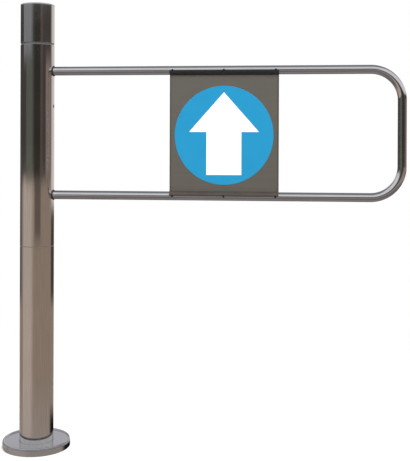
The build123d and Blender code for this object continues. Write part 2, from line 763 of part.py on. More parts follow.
# Joint seals: rubber strips bonded over the joints between panel and tubes, notched for the screw heads
seal_radius = arm_tube_radius + seal_thickness
seal_start = panel_sheet / 2 + fit_gap
with BuildPart() as joint_seals:
    for height, toward_panel in ((arm_bottom_height, 1), (arm_top_height, -1)):
        for side in (-1, 1):
            with BuildSketch(Plane.YZ.offset(panel_left)):
                with Locations((0, height)):
                    annulus(seal_radius, arm_tube_radius + fit_gap)
                with Locations((side * (seal_start + seal_radius / 2), height + toward_panel * seal_radius / 2)):
                    Rectangle(seal_radius, seal_radius, mode=Mode.INTERSECT)
            extrude(amount=panel_right - panel_left)
    with BuildSketch(Plane.XZ):
        for height in arm_heights:
            for station in screw_stations:
                with Locations((station, height)):
                    Circle(panel_screw_head_radius + seal_notch_gap)
    extrude(amount=2 * seal_radius, mode=Mode.SUBTRACT)
joint_seals.part.label = "joint_seals"
export_step(joint_seals.part, "parts/joint_seals.step")

# Sign disc and arrow: a round plate on the panel's front, and the arrow laid on it
with BuildPart() as sign_disc:
    with BuildSketch(Plane.XZ.offset(panel_sheet / 2)):
        with Locations((panel_middle, disc_height)):
            Circle(disc_radius)
    extrude(amount=disc_sheet)
sign_disc.part.label = "sign_disc"
export_step(sign_disc.part, "parts/sign_disc.step")

half_stem = arrow_stem_width / 2
half_head = arrow_head_width / 2
with BuildPart() as sign_arrow:
    with BuildSketch(Plane.XZ.offset(panel_sheet / 2 + disc_sheet)):
        with BuildLine():
            Polyline(
                (panel_middle - half_stem, arrow_bottom),
                (panel_middle + half_stem, arrow_bottom),
                (panel_middle + half_stem, arrow_shoulder),
                (panel_middle + half_head, arrow_shoulder),
                (panel_middle, arrow_tip),
                (panel_middle - half_head, arrow_shoulder),
                (panel_middle - half_stem, arrow_shoulder),
                close=True,
            )
        make_face()
    extrude(amount=arrow_sheet)
sign_arrow.part.label = "sign_arrow"
export_step(sign_arrow.part, "parts/sign_arrow.step")
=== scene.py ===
import json
import math
import random

import bmesh
import bpy
from mathutils import Matrix, Vector


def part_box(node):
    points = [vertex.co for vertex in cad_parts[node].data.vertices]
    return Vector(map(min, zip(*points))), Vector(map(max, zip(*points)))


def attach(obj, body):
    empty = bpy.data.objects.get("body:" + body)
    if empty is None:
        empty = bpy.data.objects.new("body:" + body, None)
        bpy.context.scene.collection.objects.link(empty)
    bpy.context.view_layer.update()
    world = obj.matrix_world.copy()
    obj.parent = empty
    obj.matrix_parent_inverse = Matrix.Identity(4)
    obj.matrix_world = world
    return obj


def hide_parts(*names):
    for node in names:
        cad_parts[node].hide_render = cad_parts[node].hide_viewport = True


# The looks of a one-way swing turnstile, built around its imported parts.
# Metres, +Z up, +X along the closed arm.

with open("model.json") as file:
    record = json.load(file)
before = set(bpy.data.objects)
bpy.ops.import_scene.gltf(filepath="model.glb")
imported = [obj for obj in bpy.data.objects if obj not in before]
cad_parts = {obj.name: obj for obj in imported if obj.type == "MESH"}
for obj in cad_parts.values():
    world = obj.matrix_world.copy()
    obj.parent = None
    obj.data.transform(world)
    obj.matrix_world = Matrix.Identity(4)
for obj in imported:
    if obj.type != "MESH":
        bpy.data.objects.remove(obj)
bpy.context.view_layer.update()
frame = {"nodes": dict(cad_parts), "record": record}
scene = bpy.context.scene
chance = random.Random(7)

MM = 0.001
SMOOTH_ANGLE = math.radians(38)

# Sizes read from the frame
post_low, post_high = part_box("lower_post")
sleeve_low, sleeve_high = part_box("sleeve")
seam_low, seam_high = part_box("seam_ring")
head_low, head_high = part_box("head_tube")
cap_low, cap_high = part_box("top_cap")
cover_low, cover_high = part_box("base_cover")
arm_low, arm_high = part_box("arm_tube")
panel_low, panel_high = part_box("sign_panel")
disc_low, disc_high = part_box("sign_disc")
arrow_low, arrow_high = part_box("sign_arrow")
grub_low, grub_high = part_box("cam_screws")
seal_low, seal_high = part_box("joint_seals")
post_radius = post_high.x
arm_radius = arm_high.y
arm_axes = (arm_low.z + arm_radius, arm_high.z - arm_radius)
arm_reach = arm_high.x - arm_radius
grub_height = (grub_low.z + grub_high.z) / 2

# Sizes that the boxes don't give
post_bore = post_radius - 2.0 * MM
arm_bore = arm_radius - 1.5 * MM
arm_bend = 68.0 * MM
arm_seat = post_radius + 0.02 * MM
edge = 0.45 * MM
seam_edge = 0.2 * MM
round_segments = 256
screw_inset = 7.0 * MM
screw_stations = (panel_low.x + screw_inset, (panel_low.x + panel_high.x) / 2, panel_high.x - screw_inset)
screw_head_radius = 2.4 * MM
grub_hole = 4.05 * MM
grub_azimuths = (0.0, math.radians(120))
slot_half = 1.05 * MM
slot_gap = 0.05 * MM


# ---------------------------------------------------------------- node trees


class Nodes:
    """A node tree, with short ways to add and join its nodes."""

    def __init__(self, tree):
        self.tree = tree
        tree.nodes.clear()

    def add(self, kind, inputs=None, **settings):
        node = self.tree.nodes.new("ShaderNode" + kind)
        for name, value in settings.items():
            setattr(node, name, value)
        for name, value in (inputs or {}).items():
            self.put(node.inputs[name], value)
        return node

    def put(self, socket, value):
        if isinstance(value, bpy.types.NodeSocket):
            self.tree.links.new(value, socket)
        else:
            socket.default_value = value

    def math(self, operation, *values, clamp=False):
        node = self.add("Math", dict(enumerate(values)), operation=operation, use_clamp=clamp)
        return node.outputs[0]

    def spread(self, value, low, high, to_low=0.0, to_high=1.0):
        """value taken smoothly from the range low to high into to_low to to_high."""
        inputs = {"Value": value, "From Min": low, "From Max": high, "To Min": to_low, "To Max": to_high}
        return self.add("MapRange", inputs, interpolation_type="SMOOTHSTEP").outputs[0]

    def mix(self, factor, first, second, blend="MIX"):
        node = self.add("Mix", {0: factor, 6: first, 7: second}, data_type="RGBA", blend_type=blend)
        return node.outputs[2]

    def ramp(self, value, stops):
        node = self.add("ValToRGB", {0: value})
        elements = node.color_ramp.elements
        node.color_ramp.interpolation = "EASE"
        while len(elements) > 1:
            elements.remove(elements[-1])
        elements[0].position, elements[0].color = stops[0][0], rgba(stops[0][1])
        for position, colour in stops[1:]:
            elements.new(position).color = rgba(colour)
        return node.outputs[0]

    def noise(self, place, scale, stretch=(1, 1, 1), detail=3.0, roughness=0.5, distortion=0.0):
        mapped = self.add("Mapping", {"Vector": place, "Scale": stretch}).outputs[0]
        inputs = {
            "Vector": mapped,
            "Scale": scale,
            "Detail": detail,
            "Roughness": roughness,
            "Distortion": distortion,
        }
        return self.add("TexNoise", inputs).outputs[0]


def rgba(colour):
    """A colour or a grey value as four numbers."""
    if isinstance(colour, (int, float)):
        return (colour, colour, colour, 1)
    return (*colour, 1)


# ---------------------------------------------------------------- materials


def new_material(name):
    """(material, nodes, shader, place on the object) for a named material."""
    material = bpy.data.materials.new(name)
    material.use_nodes = True
    nodes = Nodes(material.node_tree)
    shader = nodes.add("BsdfPrincipled")
    output = nodes.add("OutputMaterial")
    nodes.put(output.inputs["Surface"], shader.outputs[0])
    place = nodes.add("TexCoord").outputs["Object"]
    return material, nodes, shader, place


def edge_wear_and_highlight(nodes, amount):
    """1 on sharp outer edges, 0 elsewhere, times amount: the mask for rubbed edge wear, and on steel for a
    painted edge highlight.
    """
    point = nodes.add("NewGeometry").outputs["Pointiness"]
    return nodes.math("MULTIPLY", nodes.spread(point, 0.52, 0.60), amount)


def scaled(colour, factor, lift=0.0):
    """colour times factor plus lift, no channel above 1."""
    return tuple(min(1.0, c * factor + lift) for c in colour)


def set_relief(nodes, shader, strength, distance, height):
    """Gives the shader a bump of that strength and depth from a height."""
    relief = nodes.add("Bump", {"Strength": strength, "Distance": distance, "Height": height})
    nodes.put(shader.inputs["Normal"], relief.outputs[0])


def steel(
    name, colour, tone=0.10, gloss=(0.04, 0.09), grain=(1, 1, 1), grain_scale=900.0, bump=0.02, edge_highlight=0.35
):
    """Polished or brushed metal: stretched grain, smudges in the gloss, stray scratches and a painted
    highlight that lightens sharp edges.
    """
    material, nodes, shader, place = new_material(name)
    lines = nodes.noise(place, grain_scale, grain, detail=4.0, roughness=0.6)
    smudge = nodes.noise(place, 16.0, detail=4.0, roughness=0.55, distortion=0.6)
    cloud = nodes.noise(place, 5.0, detail=2.0)
    crossed = tuple(1.0 if g < 0.5 else 0.04 for g in grain)
    scratch = nodes.spread(nodes.noise(place, 420.0, crossed, detail=2.0, distortion=0.4), 0.66, 0.72)

    dark, light = scaled(colour, 1 - tone), scaled(colour, 1 + tone)
    body = nodes.mix(nodes.spread(lines, 0.25, 0.75), rgba(dark), rgba(light))
    body = nodes.mix(nodes.spread(cloud, 0.35, 0.75, 0.0, 0.25), body, rgba(scaled(colour, 0.82)))
    # painted highlight: sharp edges get a lighter base colour
    body = nodes.mix(edge_wear_and_highlight(nodes, edge_highlight), body, rgba(scaled(colour, 1.25)))
    nodes.put(shader.inputs["Base Color"], body)

    shine = nodes.spread(smudge, 0.3, 0.75, gloss[0], gloss[1])
    shine = nodes.math("ADD", shine, nodes.math("MULTIPLY", lines, 0.3 * gloss[0]))
    shine = nodes.math("ADD", shine, nodes.math("MULTIPLY", scratch, 0.8 * gloss[0]))
    nodes.put(shader.inputs["Roughness"], shine)
    height = nodes.math("SUBTRACT", lines, nodes.math("MULTIPLY", scratch, 0.5))
    set_relief(nodes, shader, bump, 0.06 * MM, height)
    shader.inputs["Metallic"].default_value = 1.0
    return material


def weld_metal(name):
    """Dull bead metal with straw and blue heat tints."""
    material, nodes, shader, place = new_material(name)
    patches = nodes.noise(place, 190.0, detail=4.0, roughness=0.6, distortion=0.8)
    fine = nodes.noise(place, 2200.0, detail=3.0)
    tint = nodes.ramp(
        patches,
        [
            (0.30, (0.05, 0.048, 0.05)),
            (0.46, (0.12, 0.105, 0.09)),
            (0.56, (0.17, 0.12, 0.075)),
            (0.66, (0.07, 0.075, 0.11)),
            (0.80, (0.20, 0.19, 0.18)),
        ],
    )
    nodes.put(shader.inputs["Base Color"], nodes.mix(edge_wear_and_highlight(nodes, 0.4), tint, rgba(0.26)))
    nodes.put(shader.inputs["Roughness"], nodes.spread(patches, 0.3, 0.7, 0.28, 0.5))
    set_relief(nodes, shader, 0.35, 0.2 * MM, fine)
    shader.inputs["Metallic"].default_value = 1.0
    return material


def moulded(name, colour, gloss=(0.35, 0.5), texture=2600.0, bump=0.12, speckle=0.08):
    """Moulded plastic: fine leather-like texture, faint flow marks and rubbed edges."""
    material, nodes, shader, place = new_material(name)
    grain = nodes.noise(place, texture, detail=3.0)
    flow = nodes.noise(place, 40.0, (1, 1, 0.3), detail=3.0, distortion=1.2)
    body = nodes.mix(nodes.spread(flow, 0.3, 0.7), rgba(scaled(colour, 1 - speckle)), rgba(colour))
    rubbed = scaled(colour, 1.15, 0.03)
    nodes.put(shader.inputs["Base Color"], nodes.mix(edge_wear_and_highlight(nodes, 0.6), body, rgba(rubbed)))
    nodes.put(shader.inputs["Roughness"], nodes.spread(flow, 0.3, 0.7, *gloss))
    set_relief(nodes, shader, bump, 0.1 * MM, grain)
    return material


def rubber_with_dust_and_painted_light(name, colour, dust):
    """Extruded rubber: lengthwise flow lines, a dull skin, and where it faces up lighter brown patches that
    are partly dust and partly painted light from the sky.
    """
    material, nodes, shader, place = new_material(name)
    lines = nodes.noise(place, 700.0, (0.03, 1, 1), detail=3.0)
    patches = nodes.noise(place, 45.0, (0.6, 1, 1), detail=4.0, roughness=0.6)
    upward = nodes.add("SeparateXYZ", {0: nodes.add("NewGeometry").outputs["Normal"]}).outputs[2]
    facing_up = nodes.spread(upward, -0.3, 0.5)
    # faces that point up turn a lighter brown in patches: partly dust, partly painted light from the sky
    # above
    dust_and_painted_light = nodes.math("MULTIPLY", facing_up, nodes.spread(patches, 0.25, 0.6, 0.55, 1.0))
    body = nodes.mix(nodes.spread(lines, 0.3, 0.7), rgba(colour), rgba(scaled(colour, 1.5)))
    nodes.put(shader.inputs["Base Color"], nodes.mix(dust_and_painted_light, body, rgba(dust)))
    nodes.put(shader.inputs["Roughness"], nodes.spread(patches, 0.3, 0.7, 0.42, 0.58))
    set_relief(nodes, shader, 0.15, 0.1 * MM, lines)
    return material


def vinyl(name, colour, shade, dust):
    """Self-adhesive sheet: slightly uneven print, orange peel, fine dust and faint wipe marks."""
    material, nodes, shader, place = new_material(name)
    uneven = nodes.noise(place, 22.0, detail=4.0, roughness=0.5)
    peel = nodes.noise(place, 700.0, detail=2.0)
    wipe = nodes.noise(place, 60.0, (1, 1, 6), detail=3.0, distortion=0.5)
    specks = nodes.spread(nodes.noise(place, 1500.0, detail=1.0), 0.74, 0.79, 0.0, dust)
    body = nodes.mix(nodes.spread(uneven, 0.3, 0.7), rgba(shade), rgba(colour))
    body = nodes.mix(specks, body, rgba(scaled(colour, 0.8)))
    body = nodes.mix(edge_wear_and_highlight(nodes, 0.3), body, rgba(scaled(colour, 1.1, 0.02)))
    nodes.put(shader.inputs["Base Color"], body)
    nodes.put(shader.inputs["Roughness"], nodes.spread(wipe, 0.3, 0.75, 0.34, 0.46))
    set_relief(nodes, shader, 0.05, 0.08 * MM, peel)
    return material


def satin_sheet(name, colour, left, right):
    """Satin brushed sheet, duller than the tubes, with grain along its width and painted shade in a band
    along its side edges.
    """
    material, nodes, shader, place = new_material(name)
    along = nodes.add("SeparateXYZ", {0: place}).outputs[0]
    from_left = nodes.math("SUBTRACT", along, left)
    from_right = nodes.math("SUBTRACT", right, along)
    from_edge = nodes.math("MINIMUM", from_left, from_right)
    lines = nodes.noise(place, 1500.0, (0.02, 1, 1), detail=5.0, roughness=0.65)
    broad = nodes.noise(place, 120.0, (0.05, 1, 1), detail=3.0)
    cloud = nodes.noise(place, 9.0, detail=3.0)
    dark, light = scaled(colour, 0.93), scaled(colour, 1.06)
    body = nodes.mix(nodes.spread(lines, 0.25, 0.75), rgba(dark), rgba(light))
    body = nodes.mix(nodes.spread(broad, 0.35, 0.7, 0.0, 0.12), body, rgba(scaled(colour, 0.8)))
    # painted shade: the base colour darkens towards the left and right edges
    edge_shade = nodes.spread(from_edge, 2.5 * MM, 5.0 * MM, 0.6, 0.0)
    body = nodes.mix(edge_shade, body, rgba(scaled(colour, 0.5)))
    nodes.put(shader.inputs["Base Color"], body)
    clouded = nodes.spread(cloud, 0.3, 0.7, 0.38, 0.46)
    shine = nodes.math("ADD", clouded, nodes.math("MULTIPLY", lines, 0.08))
    nodes.put(shader.inputs["Roughness"], shine)
    set_relief(nodes, shader, 0.10, 0.05 * MM, lines)
    shader.inputs["Metallic"].default_value = 0.75
    return material


LENGTHWISE = (1, 1, 0.02)
ACROSS = (0.02, 1, 1)
TURNED = (1, 1, 12)

SIGN_BLUE = (0.009, 0.268, 0.50)
SIGN_BLUE_SHADE = (0.008, 0.256, 0.48)

finishes = {
    "polished_stainless": steel("polished_stainless", (0.56, 0.545, 0.53), grain=LENGTHWISE),
    # the cover's stronger edge setting paints a brighter highlight on its rim crest
    "cover_stainless": steel("cover_stainless", (0.54, 0.54, 0.55), tone=0.16, gloss=(0.05, 0.11), edge_highlight=0.6),
    "arm_stainless": steel("arm_stainless", (0.57, 0.565, 0.565), gloss=(0.06, 0.12), grain=ACROSS),
    "seam_stainless": steel("seam_stainless", (0.30, 0.295, 0.29), gloss=(0.3, 0.42)),
    "satin_panel": satin_sheet("satin_panel", (0.215, 0.205, 0.175), panel_low.x, panel_high.x),
    "weld_steel": weld_metal("weld_steel"),
    "machined_steel": steel(
        "machined_steel", (0.55, 0.55, 0.56), gloss=(0.22, 0.34), grain=TURNED, grain_scale=160, bump=0.12
    ),
    "cam_steel": steel(
        "cam_steel", (0.42, 0.42, 0.44), gloss=(0.2, 0.3), grain=TURNED, grain_scale=220, bump=0.1
    ),
    "black_fastener": steel(
        "black_fastener", (0.035, 0.034, 0.036), gloss=(0.32, 0.5), grain_scale=1500, bump=0.2
    ),
    "zinc_fastener": steel("zinc_fastener", (0.62, 0.63, 0.64), gloss=(0.2, 0.34), bump=0.1),
    "plate_steel": steel("plate_steel", (0.36, 0.37, 0.38), gloss=(0.38, 0.55), grain_scale=260, bump=0.2),
    "spring_steel": steel("spring_steel", (0.30, 0.30, 0.32), gloss=(0.24, 0.36), grain_scale=1200, bump=0.1),
    "bearing_plastic": moulded("bearing_plastic", (0.19, 0.17, 0.15)),
    "seal_rubber": rubber_with_dust_and_painted_light("seal_rubber", (0.012, 0.012, 0.013), (0.062, 0.05, 0.04)),
    "magnet": steel("magnet", (0.70, 0.69, 0.68), gloss=(0.08, 0.18), grain_scale=1400, bump=0.05),
    "sensor_brass": steel(
        "sensor_brass", (0.66, 0.54, 0.31), gloss=(0.18, 0.3), grain=TURNED, grain_scale=500, bump=0.12
    ),
    "counter_plastic": moulded("counter_plastic", (0.045, 0.046, 0.05), bump=0.25),
    "sign_blue": vinyl("sign_blue", SIGN_BLUE, SIGN_BLUE_SHADE, 0.12),
    "sign_white": vinyl("sign_white", (0.94, 0.94, 0.94), (0.91, 0.91, 0.91), 0.15),
}


# ---------------------------------------------------------------- mesh tools


def make_piece(bm, name, body, finish, replaced=()):
    """Turns bm into a smooth-shaded piece that rides on a body and stands for CAD nodes."""
    bmesh.ops.recalc_face_normals(bm, faces=bm.faces)
    mesh = bpy.data.meshes.new(name)
    bm.to_mesh(mesh)
    bm.free()
    mesh.materials.append(finishes[finish])
    mesh.polygons.foreach_set("use_smooth", [True] * len(mesh.polygons))
    mesh.set_sharp_from_angle(angle=SMOOTH_ANGLE)
    piece = bpy.data.objects.new(name, mesh)
    scene.collection.objects.link(piece)
    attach(piece, body)
    if replaced:
        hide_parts(*replaced)
    return piece


def rounded(corners, closed=True, steps=5, guard=0.25 * MM):
    """The outline through (along, up, radius) corners with each corner rounded. A guard point on either side
    of each rounding keeps the long faces evenly shaded."""
    outline = []
    count = len(corners)
    for i, (x, y, radius) in enumerate(corners):
        here = Vector((x, y))
        if radius == 0 or (not closed and i in (0, count - 1)):
            outline.append(here)
            continue
        back = Vector(corners[i - 1][:2]) - here
        ahead = Vector(corners[(i + 1) % count][:2]) - here
        half = back.angle(ahead) / 2
        reach = radius / math.tan(half)
        first = here + back.normalized() * reach
        last = here + ahead.normalized() * reach
        inward = (back.normalized() + ahead.normalized()).normalized()
        centre = here + inward * (radius / math.sin(half))
        start = math.atan2(first.y - centre.y, first.x - centre.x)
        sweep = math.remainder(math.atan2(last.y - centre.y, last.x - centre.x) - start, 2 * math.pi)
        turns = [start + sweep * k / steps for k in range(steps + 1)]
        arc = [centre + Vector((math.cos(t), math.sin(t))) * radius for t in turns]
        room = guard * 2 + reach * 2
        if back.length > room:
            outline.append(here + back.normalized() * (reach + guard))
        outline += arc
        if ahead.length > room:
            outline.append(here + ahead.normalized() * (reach + guard))
    return outline


def bridge(bm, first, second, closed=True):
    """Quads between two rows of as many vertices."""
    count = len(first)
    for i in range(count if closed else count - 1):
        k = (i + 1) % count
        bm.faces.new((first[i], first[k], second[k], second[i]))


def lathe(bm, outline, segments, closed=True, place=Matrix.Identity(4)):
    """Turns an outline of (radius, height) about the local Z axis of place."""
    rows = []
    for radius, height in outline:
        row = []
        for k in range(segments):
            angle = 2 * math.pi * k / segments
            spot = Vector((radius * math.cos(angle), radius * math.sin(angle), height))
            row.append(bm.verts.new(place @ spot))
        rows.append(row)
    for i in range(len(rows) if closed else len(rows) - 1):
        bridge(bm, rows[i], rows[(i + 1) % len(rows)])
    return rows


def tube_outline(low, high, outer, inner, low_edge, high_edge):
    """A tube wall's section with rounded outer edges."""
    burr = 0.15 * MM
    corners = [(outer, low, low_edge), (outer, high, high_edge), (inner, high, burr), (inner, low, burr)]
    return rounded(corners)


# ---------------------------------------------------------------- post and base


def make_lower_post():
    bm = bmesh.new()
    section = tube_outline(post_low.z, post_high.z, post_radius, post_bore, edge, seam_edge)
    lathe(bm, section, round_segments)
    return make_piece(bm, "lower_post_tube", "root", "polished_stainless", ["lower_post"])


def make_head():
    bm = bmesh.new()
    section = tube_outline(head_low.z, head_high.z, post_radius, post_bore, edge, seam_edge)
    lathe(bm, section, round_segments)
    make_piece(bm, "head_shell", "root", "polished_stainless", ["head_tube"])

    skirt_bore = 33.0 * MM
    skirt_radius = 35.9 * MM
    centre = 20.0 * MM
    corners = [
        (centre, cap_high.z, 0),
        (post_radius, cap_high.z, 1.2 * MM),
        (post_radius, head_high.z + 0.12 * MM, 0.1 * MM),
        (post_radius - 0.5 * MM, head_high.z, 0),
        (skirt_radius, head_high.z, 0),
        (skirt_radius, cap_low.z, 0.4 * MM),
        (skirt_bore, cap_low.z, 0.3 * MM),
        (skirt_bore, head_high.z, 0.4 * MM),
        (centre, head_high.z, 0),
    ]
    bm = bmesh.new()
    rows = lathe(bm, rounded(corners, closed=False), round_segments, closed=False)
    bm.faces.new(rows[0])
    bm.faces.new(rows[-1])
    make_piece(bm, "top_cap_lid", "root", "polished_stainless", ["top_cap"])


def make_seam_ring():
    bore = 33.5 * MM
    corner = 0.6 * MM
    bm = bmesh.new()
    section = tube_outline(seam_low.z, seam_high.z, seam_high.x, bore, corner, corner)
    lathe(bm, section, round_segments)
    return make_piece(bm, "seam_band", "root", "seam_stainless", ["seam_ring"])


def make_base_cover():
    """The spun cover: a wall, a groove, a rolled rim and a sunk flat top that closes on the post."""
    radius = cover_high.x
    top = 14.5 * MM
    groove = 12.6 * MM
    sheet = 1.2 * MM
    bore = post_radius + 0.3 * MM
    rim_radius = 2.0 * MM
    rim_centre = radius - 2.6 * MM
    rim_height = cover_high.z - rim_radius
    rim = []
    for degrees in range(-48, 182, 12):
        turn = math.radians(degrees)
        out, up = rim_radius * math.cos(turn), rim_radius * math.sin(turn)
        rim.append((rim_centre + out, rim_height + up, 0))
    corners = [
        (radius - sheet, 0, 0),
        (radius - 0.1 * MM, 0, 0.25 * MM),
        (radius - 0.15 * MM, groove - 1.3 * MM, 0.5 * MM),
        (radius - 2.2 * MM, groove - 0.2 * MM, 0.5 * MM),
        *rim,
        (rim_centre - rim_radius, top, 0.3 * MM),
        (bore, top, 0.4 * MM),
        (bore, top - sheet, 0.2 * MM),
        (radius - 5.2 * MM, top - sheet, 0.5 * MM),
        (radius - 3.2 * MM, groove - 0.8 * MM, 0.5 * MM),
    ]
    bm = bmesh.new()
    cover_segments = 320
    lathe(bm, rounded(corners), cover_segments)
    return make_piece(
        bm, "base_cover_shell", "root", "cover_stainless", ["base_cover"]
    )


def sleeve_point(azimuth, height, radius):
    """The point at that azimuth and height, radius away from the post's axis."""
    return Vector((radius * math.cos(azimuth), radius * math.sin(azimuth), height))


def make_sleeve():
    """The turning tube, with a real hole through its wall for each grub screw."""
    columns = 264
    patch = 6
    step = 2 * math.pi / columns
    cell = post_radius * step
    patch_heights = [grub_height + cell * k for k in range(-patch, patch + 1)]
    section = tube_outline(sleeve_low.z, sleeve_high.z, post_radius, post_bore, seam_edge, edge)
    on_face = [i for i, p in enumerate(section) if math.isclose(p.x, post_radius, abs_tol=1e-6)]
    outer_low = max(i for i in on_face if section[i].y < grub_height)
    outline = list(section[: outer_low + 1])
    outline += [Vector((post_radius, height)) for height in patch_heights]
    outline += list(section[outer_low + 1 :])

    bm = bmesh.new()
    rows = [
        [bm.verts.new(sleeve_point(k * step, height, radius)) for k in range(columns)]
        for radius, height in outline
    ]
    first_row = outer_low + 1
    centres = [round(a / step) for a in grub_azimuths]
    for i in range(len(rows)):
        upper = rows[(i + 1) % len(rows)]
        for k in range(columns):
            beside = (k + 1) % columns
            in_rows = first_row <= i < first_row + 2 * patch
            in_columns = any((k - centre + patch) % columns < 2 * patch for centre in centres)
            if not (in_rows and in_columns):
                bm.faces.new((rows[i][k], rows[i][beside], upper[beside], upper[k]))

    side_shares = (0.75, 0.5, 0.28, 0.12, 0.05, 0.0)
    wall_rings = ((0.06, 0.06), (0.2, 0.0), (0.5, 0.0), (2.0, 0.0))
    for centre in centres:
        azimuth = centre * step
        rim = [(k, -patch) for k in range(-patch, patch)]
        rim += [(patch, k) for k in range(-patch, patch)]
        rim += [(-k, patch) for k in range(-patch, patch)]
        rim += [(-patch, -k) for k in range(-patch, patch)]
        outer = [rows[first_row + patch + v][(centre + u) % columns] for u, v in rim]
        turns = [math.atan2(v, u) for u, v in rim]
        rings = [outer]
        for share in side_shares:
            ring = []
            for (u, v), turn in zip(rim, turns):
                hole = Vector((math.cos(turn), math.sin(turn))) * (grub_hole + 0.2 * MM)
                side = Vector((post_radius * math.sin(u * step), v * cell))
                spot = hole.lerp(side, share)
                lift = math.asin(spot.x / post_radius)
                ring.append(bm.verts.new(sleeve_point(azimuth + lift, grub_height + spot.y, post_radius)))
            rings.append(ring)
        for depth, flare in wall_rings:
            ring = []
            radius = post_radius - depth * MM
            hole_radius = grub_hole + flare * MM
            for turn in turns:
                lift = math.asin(hole_radius * math.cos(turn) / radius)
                height = grub_height + hole_radius * math.sin(turn)
                ring.append(bm.verts.new(sleeve_point(azimuth + lift, height, radius)))
            rings.append(ring)
        for i in range(len(rings) - 1):
            bridge(bm, rings[i], rings[i + 1])
    return make_piece(bm, "sleeve_tube", "arm", "polished_stainless", ["sleeve"])


# ---------------------------------------------------------------- arm


def loop_stations():
    """(x, z, turn) along the arm's centreline from the upper joint round to the lower one. turn is the angle
    of the loop's outward direction, from +Z towards +X."""
    low, high = arm_axes
    bend_start = arm_reach - arm_bend
    coped_end = 12 * MM
    run = (arm_seat, arm_seat + coped_end, panel_low.x - slot_gap, panel_high.x + slot_gap)
    bend_steps = 40
    stations = [(x, high, 0.0) for x in run]
    for first_turn, centre in ((0.0, high - arm_bend), (math.pi / 2, low + arm_bend)):
        for k in range(bend_steps + 1):
            turn = first_turn + math.pi / 2 * k / bend_steps
            out, up = arm_bend * math.sin(turn), arm_bend * math.cos(turn)
            stations.append((bend_start + out, centre + up, turn))
    stations += [(x, low, math.pi) for x in reversed(run)]
    return stations


def make_arm():
    """One bent tube, coped to the sleeve at both ends, with a slot in each run for the panel's edge."""
    around = 64
    middle = around // 2
    stations = loop_stations()
    bm = bmesh.new()
    grids = []
    for radius in (arm_radius, arm_bore):
        slot_turn = math.asin(slot_half / radius)
        turns = [2 * math.pi * k / around for k in range(around)]
        turns[middle - 1] = math.pi - slot_turn
        turns[middle + 1] = math.pi + slot_turn
        grid = []
        for i, (x, z, lean) in enumerate(stations):
            row = []
            for turn in turns:
                out, across = radius * math.cos(turn), radius * math.sin(turn)
                spot = Vector((x + out * math.sin(lean), across, z + out * math.cos(lean)))
                if i in (0, len(stations) - 1):
                    spot.x = math.sqrt(arm_seat**2 - across**2)
                row.append(bm.verts.new(spot))
            grid.append(row)
        grids.append(grid)

    last = len(stations) - 1
    slot_rows = (2, last - 3)
    for grid in grids:
        for i in range(last):
            for k in range(around):
                beside = (k + 1) % around
                if i in slot_rows and k in (middle - 1, middle):
                    continue
                bm.faces.new((grid[i][k], grid[i][beside], grid[i + 1][beside], grid[i + 1][k]))
    outer, inner = grids
    for end in (0, last):
        bridge(bm, outer[end], inner[end])
    across_slot = (middle - 1, middle, middle + 1)
    for i in slot_rows:
        rim = [(i, k) for k in across_slot] + [(i + 1, k) for k in reversed(across_slot)]
        bridge(bm, [outer[a][b] for a, b in rim], [inner[a][b] for a, b in rim])
    return make_piece(bm, "arm_loop", "arm", "arm_stainless", ["arm_tube"])


def make_welds():
    """A rippled bead round each tube end, where the tube meets the sleeve."""
    ripples = 32
    per_ripple = 12
    around = 16
    bead = 1.6 * MM
    ridge_height = 0.1 * MM
    stand_off = 0.25 * MM
    bm = bmesh.new()
    for height in arm_axes:
        swell = [chance.uniform(0.9, 1.08) for _ in range(ripples)]
        rows = []
        for i in range(ripples * per_ripple):
            turn = 2 * math.pi * i / (ripples * per_ripple)
            radial = Vector((0, math.sin(turn), math.cos(turn)))
            across = arm_radius * math.sin(turn)
            along = math.sqrt(post_radius**2 - across**2)
            corner = Vector((along, across, height + arm_radius * math.cos(turn)))
            outward = Vector((corner.x, corner.y, 0)).normalized()
            centre = corner + (radial + outward) * stand_off
            whole, part = divmod(i / per_ripple, 1)
            size = swell[int(whole)] * (1 - part) + swell[(int(whole) + 1) % ripples] * part
            row = []
            for k in range(around):
                angle = 2 * math.pi * k / around
                phase = part + 0.22 * math.cos(angle - math.pi / 4)
                reach = bead * size + ridge_height * abs(math.sin(math.pi * phase))
                heading = outward * math.cos(angle) + radial * math.sin(angle)
                row.append(bm.verts.new(centre + heading * reach))
            rows.append(row)
        for i in range(len(rows)):
            bridge(bm, rows[i], rows[(i + 1) % len(rows)])
    return make_piece(bm, "arm_weld_beads", "arm", "weld_steel", ["arm_welds"])


# ---------------------------------------------------------------- sign


def bevelled(bm, width, segments=3):
    """Rounds every sharp edge of bm."""
    sharp = [e for e in bm.edges if e.is_manifold and e.calc_face_angle(0) > math.radians(30)]
    bmesh.ops.bevel(bm, geom=sharp, offset=width, segments=segments, profile=0.5, affect="EDGES")


def weigh_normals(piece):
    """Keeps big flat faces evenly shaded next to small bevels."""
    modifier = piece.modifiers.new("even_faces", "WEIGHTED_NORMAL")
    modifier.keep_sharp = True
    modifier.weight = 100


def make_panel():
    bm = bmesh.new()
    size = panel_high - panel_low
    bmesh.ops.create_cube(bm, size=1)
    bmesh.ops.scale(bm, vec=size, verts=bm.verts)
    bmesh.ops.translate(bm, vec=(panel_low + panel_high) / 2, verts=bm.verts)
    bevelled(bm, 0.3 * MM)
    piece = make_piece(bm, "sign_panel_plate", "arm", "satin_panel", ["sign_panel"])
    weigh_normals(piece)
    return piece


